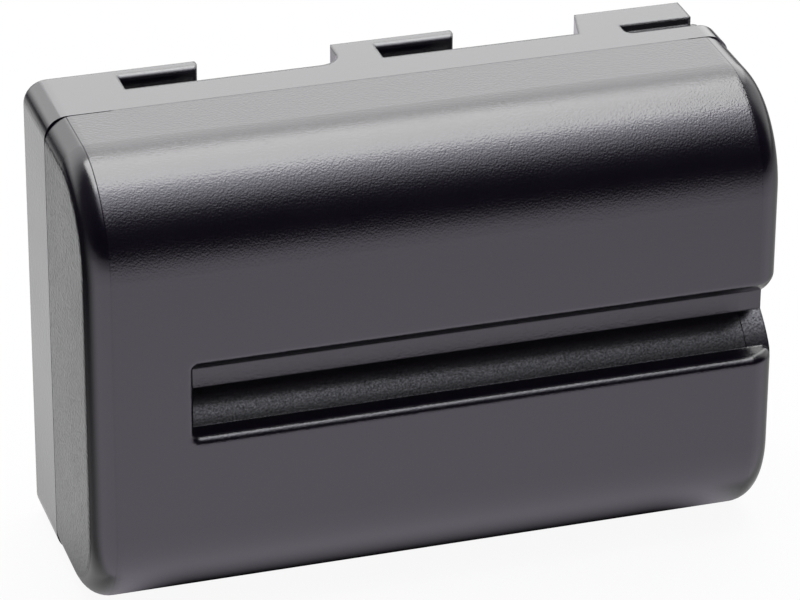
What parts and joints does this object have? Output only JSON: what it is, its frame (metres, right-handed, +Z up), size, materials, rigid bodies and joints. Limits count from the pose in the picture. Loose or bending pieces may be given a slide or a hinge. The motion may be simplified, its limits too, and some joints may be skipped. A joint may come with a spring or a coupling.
{
  "type": "camera battery",
  "caption": "Black moulded camera battery with a lobed front, a keyway along it, and hooked rails on the long edges of its rear cover.",
  "frame": {"origin": "middle of the long narrow side that the battery stands on", "axes": "+X along the battery towards its terminal end, +Y from the lobed front to the rail face, +Z up"},
  "size_m": [0.0556, 0.0206, 0.0382],
  "materials": {
    "case_plastic": "black moulded plastic, finely spark-textured, smoother bands at the two ends",
    "cell_can": "drawn steel can",
    "insulating_paper": "pressed insulating paper",
    "nickel_strip": "rolled nickel strip",
    "board_laminate": "green glass-fibre laminate",
    "chip_plastic": "moulded chip body",
    "chip_ceramic": "fired ceramic",
    "block_plastic": "plain black moulded plastic",
    "contact_metal": "plated spring strip"
  },
  "bodies": {
    "root": {"front_shell": "case_plastic", "rear_cover": "case_plastic", "upper_cell": "cell_can", "lower_cell": "cell_can", "upper_cell_washer": "insulating_paper", "lower_cell_washer": "insulating_paper", "left_end_pad": "insulating_paper", "right_end_sheet": "insulating_paper", "series_link": "nickel_strip", "centre_tap_strap": "nickel_strip", "negative_strap": "nickel_strip", "positive_strap": "nickel_strip", "circuit_board": "board_laminate", "protection_chip": "chip_plastic", "gauge_chip": "chip_plastic", "switch_chip": "chip_plastic", "sense_resistor": "chip_plastic", "chip_fuse": "chip_plastic", "thermistor": "chip_plastic", "chip_capacitors": "chip_ceramic", "chip_resistors": "chip_plastic", "terminal_block": "block_plastic", "negative_contact": "contact_metal", "data_contact": "contact_metal", "positive_contact": "contact_metal"}
  },
  "joints": []
}
